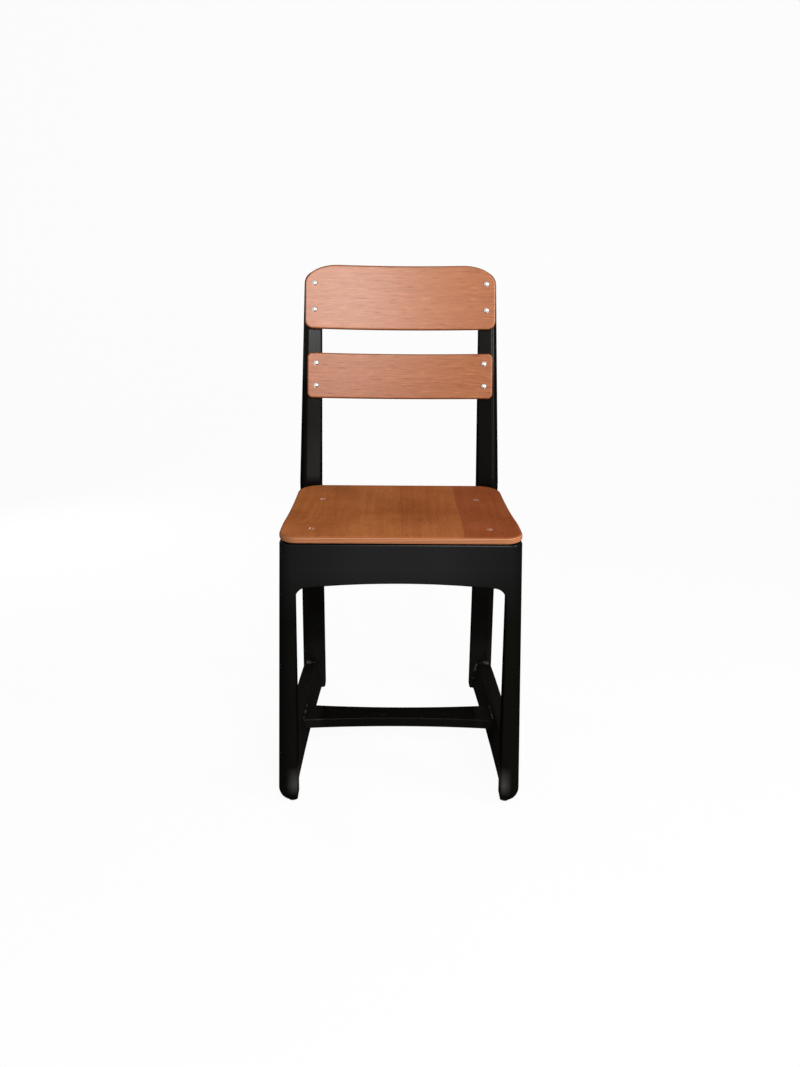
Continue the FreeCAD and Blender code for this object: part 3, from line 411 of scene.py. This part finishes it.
def set_attribute(piece, name, numbers):
    """Give each vertex of a piece a number that its finish reads."""
    attribute = piece.data.attributes.new(name, "FLOAT", "POINT")
    attribute.data.foreach_set("value", numbers)


def round_corner(mesh, vert, across, up):
    """Round a corner of a flat outline with a quarter of an ellipse."""
    squeeze = Matrix.Diagonal((up / across, 1, 1)).to_4x4()
    bmesh.ops.transform(mesh, matrix=squeeze, verts=mesh.verts[:])
    bmesh.ops.bevel(mesh, geom=[vert], offset=up, affect="VERTICES", segments=CORNER_SEGMENTS,
                    profile=0.5, material=-1)
    bmesh.ops.transform(mesh, matrix=squeeze.inverted(), verts=mesh.verts[:])


def flat_board(outline, corners, thickness, edge_round):
    """A flat board with rounded corners and edges; its face is at z = 0 and its back at -thickness."""
    mesh = bmesh.new()
    verts = [mesh.verts.new((x, y, 0)) for x, y in outline]
    mesh.faces.new(verts)
    for vert, (across, up) in zip(verts, corners):
        round_corner(mesh, vert, across, up)
    block = bmesh.ops.extrude_face_region(mesh, geom=mesh.faces[:])["geom"]
    bmesh.ops.translate(mesh, verts=only(bmesh.types.BMVert, block), vec=(0, 0, -thickness))
    bmesh.ops.recalc_face_normals(mesh, faces=mesh.faces[:])
    rims = [edge for edge in mesh.edges if abs(edge.verts[0].co.z - edge.verts[1].co.z) < thickness / 2]
    bmesh.ops.bevel(mesh, geom=rims, offset=edge_round, affect="EDGES", segments=ROUND_SEGMENTS,
                    profile=0.5, material=-1)
    front_and_back = sorted(mesh.faces, key=lambda face: face.calc_area())[-2:]
    bmesh.ops.inset_individual(mesh, faces=front_and_back, thickness=RIM_SUPPORT)
    return mesh


def cut_board(mesh, axis):
    """Cut a board across at even steps, so that it can be bent."""
    spots = [vert.co[axis] for vert in mesh.verts]
    count = math.ceil((max(spots) - min(spots)) / BOARD_STEP)
    normal = Vector((0, 0, 0))
    normal[axis] = 1
    for number in range(1, count):
        place = normal * (min(spots) + (max(spots) - min(spots)) * number / count)
        everything = mesh.verts[:] + mesh.edges[:] + mesh.faces[:]
        bmesh.ops.bisect_plane(mesh, geom=everything, plane_co=place, plane_no=normal, dist=1e-6)


def finish_board(mesh, name, thickness, bend):
    """Note how deep in the board each vertex lies, bend the board and put it in place of its node."""
    depths = [-vert.co.z / thickness for vert in mesh.verts]
    for vert in mesh.verts:
        vert.co = bend(vert.co)
    face_outwards(mesh)
    board = new_object(f"{name}_board", mesh)
    set_attribute(board, PLY_DEPTH, depths)
    slot = next(part["material_slot"] for part in frame["record"]["subparts"] if part["node"] == name)
    board.data.materials.append(FINISHES[slot])
    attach(board, "root")
    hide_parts(name)


def seat_level(y, depth):
    """Height of the seat at y, at a depth below its top."""
    turn = SEAT_CROWN_Y + SEAT_SPAN * (SEAT_CROWN_RADIUS - depth) / SEAT_RADII
    if y < turn:
        centre = SEAT_TOP - SEAT_CROWN_RADIUS
        return centre + math.sqrt((SEAT_CROWN_RADIUS - depth) ** 2 - (y - SEAT_CROWN_Y) ** 2)
    centre = SEAT_TOP - SEAT_DISH_DEPTH + SEAT_DISH_RADIUS
    return centre - math.sqrt((SEAT_DISH_RADIUS + depth) ** 2 - (y - SEAT_DISH_Y) ** 2)


def make_seat():
    """The moulded seat, crowned over the apron and dished behind."""
    low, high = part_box("seat")
    front_half = 0.182
    rear_half = 0.1785
    front_corner = (0.027, 0.027)
    rear_corner = (0.044, 0.044)
    outline = [(-front_half, low.y), (front_half, low.y), (rear_half, high.y), (-rear_half, high.y)]
    corners = [front_corner, front_corner, rear_corner, rear_corner]
    mesh = flat_board(outline, corners, SEAT_THICKNESS, SEAT_EDGE_ROUND)
    cut_board(mesh, ACROSS)
    cut_board(mesh, ALONG)

    def bend(spot):
        return Vector((spot.x, spot.y, seat_level(spot.y, -spot.z)))

    finish_board(mesh, "seat", SEAT_THICKNESS, bend)


def make_slat(name, start, height, half_span, top_corner, bottom_corner):
    """A bent back slat that lies on the posts' faces; a corner is as far across and up as its pair says."""
    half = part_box(name)[1].x
    outline = [(-half, 0), (half, 0), (half, height), (-half, height)]
    corners = [bottom_corner, bottom_corner, top_corner, top_corner]
    mesh = flat_board(outline, corners, SLAT_THICKNESS, SLAT_EDGE_ROUND)
    cut_board(mesh, ACROSS)
    front_radius = half_span / math.sin(SLAT_TURN) - FIT_GAP - SLAT_THICKNESS
    centre = -(half_span - POST_INNER) * math.tan(SLAT_TURN) - half_span / math.tan(SLAT_TURN)
    lean = Matrix.Rotation(-RECLINE, 4, "X")

    def bend(spot):
        radius = front_radius - spot.z
        y = centre + math.sqrt(radius ** 2 - spot.x ** 2)
        return POST_BEND + lean @ Vector((spot.x, y, start + spot.y))

    finish_board(mesh, name, SLAT_THICKNESS, bend)


def hit(node, start, direction):
    """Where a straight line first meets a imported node."""
    found, spot, _normal, _face = frame["nodes"][node].ray_cast(Vector(start), Vector(direction))
    if not found:
        raise RuntimeError(f"no {node} is met from {tuple(start)}")
    return spot


def weld_bead(mesh, seam, radius):
    """Lay a rippled bead of weld along a seam's points, small at both ends."""
    ripple = (1.0, 0.9)
    end_size = 0.5
    sides = 10
    last = len(seam) - 1
    rings = []
    for number, spot in enumerate(seam):
        is_end = number in (0, last)
        ahead = seam[min(number + 1, last)] - seam[max(number - 1, 0)]
        place = Matrix.Translation(spot) @ ahead.to_track_quat("Z", "Y").to_matrix().to_4x4()
        size = radius * (end_size if is_end else ripple[number % len(ripple)])
        made = bmesh.ops.create_circle(mesh, cap_ends=is_end, segments=sides, radius=size, matrix=place)
        rings.append({edge for vert in made["verts"] for edge in vert.link_edges})
    for first, second in zip(rings, rings[1:]):
        bmesh.ops.bridge_loops(mesh, edges=list(first | second))


def steps(start, end):
    """Numbers from start to end, about a weld ripple apart."""
    count = max(2, round(abs(end - start) / WELD_RIPPLE))
    return [start + (end - start) * number / count for number in range(count + 1)]


def stretcher_seam(runner, sign):
    """Points along the stretcher's end, on the runner's wall beside the stretcher's top."""
    low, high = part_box("stretcher")
    clear_of_corner = 0.004
    level = high.z - 0.0005
    return [hit(runner, (0, y, level), (sign, 0, 0))
            for y in steps(low.y + clear_of_corner, high.y - clear_of_corner)]


def runner_top_seam(runner, post, sign):
    """Points across the top of the runner, in front of the rear post's face."""
    inner = 0.158
    outer = 0.177
    level_of_face = 0.075
    above = Vector((0, 0, 0.05))
    seam = []
    for x in steps(inner, outer):
        face = hit(post, (x * sign, 0, level_of_face), (0, 1, 0))
        seam.append(hit(runner, face + AHEAD_OF_POST + above, (0, 0, -1)) - AHEAD_OF_POST / 2)
    return seam


def runner_wall_seam(runner, post, sign):
    """Points down the inner wall of the runner, in front of the rear post's face."""
    top = 0.058
    bottom = 0.026
    post_x = 0.155 * sign
    seam = []
    for z in steps(top, bottom):
        face = hit(post, (post_x, 0, z), (0, 1, 0))
        seam.append(hit(runner, (0, face.y + AHEAD_OF_POST.y, z), (sign, 0, 0)) - AHEAD_OF_POST / 2)
    return seam


def make_welds(side, sign):
    """The welds of one runner: along the stretcher's end, and over and inside its end on the rear post."""
    runner = f"{side}_runner"
    post = f"{side}_rear_post"
    mesh = bmesh.new()
    weld_bead(mesh, stretcher_seam(runner, sign), STRETCHER_BEAD)
    weld_bead(mesh, runner_top_seam(runner, post, sign), RUNNER_TOP_BEAD)
    weld_bead(mesh, runner_wall_seam(runner, post, sign), RUNNER_WALL_BEAD)
    face_outwards(mesh)
    welds = new_object(f"{side}_runner_welds", mesh)
    # The welds' vertices carry the strength of the painted highlight that the enamel shows on them.
    set_attribute(welds, WELD_HIGHLIGHT, [WELD_HIGHLIGHT_SHARE] * len(welds.data.vertices))
    welds.data.materials.append(FINISHES["black_enamel"])
    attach(welds, "root")


def extend(mesh, edges, along):
    """Draw edges out along a vector, and give back the edges that were made."""
    grown = bmesh.ops.extrude_edge_only(mesh, edges=edges)["geom"]
    bmesh.ops.translate(mesh, verts=only(bmesh.types.BMVert, grown), vec=along)
    return only(bmesh.types.BMEdge, grown)


def make_stage():
    """A pale floor that runs up into a backdrop; it is seen white, with the chair's shadow."""
    finish = new_finish("studio_floor")
    pale = finish.node("BsdfDiffuse", {"Color": rgba(0.8, 0.8, 0.8)})
    white = finish.node("Emission", {"Color": rgba(1, 1, 1), "Strength": 1.0})
    white_share = 0.95
    surface = finish.node("MixShader", {0: finish.seen() * white_share, 1: pale, 2: white})
    finish.node("OutputMaterial", {"Surface": surface})

    front = -4.0
    back = 2.6
    side = 6.0
    sweep = 0.8
    wall = 5.0
    mesh = bmesh.new()
    front_edge = mesh.edges.new([mesh.verts.new((x, front, 0)) for x in (-side, side)])
    floor_edges = extend(mesh, [front_edge], (0, back - sweep - front, 0))
    turned = bmesh.ops.spin(mesh, geom=floor_edges, cent=(0, back - sweep, sweep), axis=(1, 0, 0),
                            angle=math.pi / 2, steps=12, use_merge=False)["geom_last"]
    extend(mesh, only(bmesh.types.BMEdge, turned), (0, 0, wall))
    bmesh.ops.recalc_face_normals(mesh, faces=mesh.faces[:])
    floor = new_object("studio_floor", mesh)
    floor.data.materials.append(finish.owner)


def add_light(name, place, target, size, power):
    """A soft square light aimed at a point."""
    data = bpy.data.lights.new(name, "AREA")
    data.shape = "SQUARE"
    data.size = size
    data.energy = power
    light = bpy.data.objects.new(name, data)
    light.location = place
    light.rotation_euler = (Vector(target) - light.location).to_track_quat("-Z", "Y").to_euler()
    bpy.context.scene.collection.objects.link(light)


def make_light():
    """A dim even surround, seen white, and four soft lights: over and beside the camera, right and behind."""
    world = Finish(bpy.data.worlds.new("studio"))
    surround = 0.12
    strength = surround + world.seen() * (1 - surround)
    background = world.node("Background", {"Color": rgba(1, 1, 1), "Strength": strength})
    world.node("OutputWorld", {"Surface": background})
    bpy.context.scene.world = world.owner
    middle = (0, 0, 0.5)
    add_light("key", (0.34, -1.9, 1.75), middle, size=0.4, power=26)
    add_light("front", (0.55, -2.0, 0.95), middle, size=0.2, power=7)
    add_light("side", (1.95, -1.25, 1.4), middle, size=0.8, power=46)
    add_light("rear", (-1.3, 1.5, 0.9), middle, size=0.8, power=18)


def make_camera():
    """The photograph's view: 1.7 m in front, at 0.85 m, looking 15 degrees down."""
    image_height = 1067
    focal_pixels = 1052.3
    data = bpy.data.cameras.new("camera")
    data.sensor_width = 36
    data.lens = data.sensor_width * focal_pixels / image_height
    camera = bpy.data.objects.new("camera", data)
    camera.location = (-0.0172, -1.7228, 0.8481)
    heading = Matrix.Rotation(math.radians(-0.592), 3, "Z")
    pitch = Matrix.Rotation(math.radians(90 - 15.389), 3, "X")
    roll = Matrix.Rotation(math.radians(0.497), 3, "Z")
    camera.rotation_euler = (heading @ pitch @ roll).to_euler()
    bpy.context.scene.collection.objects.link(camera)
    bpy.context.scene.camera = camera


dress_nodes()
make_seat()
make_slat("upper_slat", start=0.282, height=0.115, half_span=0.1555,
          top_corner=(0.060, 0.036), bottom_corner=(0.014, 0.014))
make_slat("lower_slat", start=0.158, height=0.081, half_span=0.152,
          top_corner=(0.009, 0.009), bottom_corner=(0.009, 0.009))
make_welds("right", 1)
make_welds("left", -1)
make_stage()
make_light()
make_camera()
bpy.context.scene.view_settings.view_transform = "Standard"
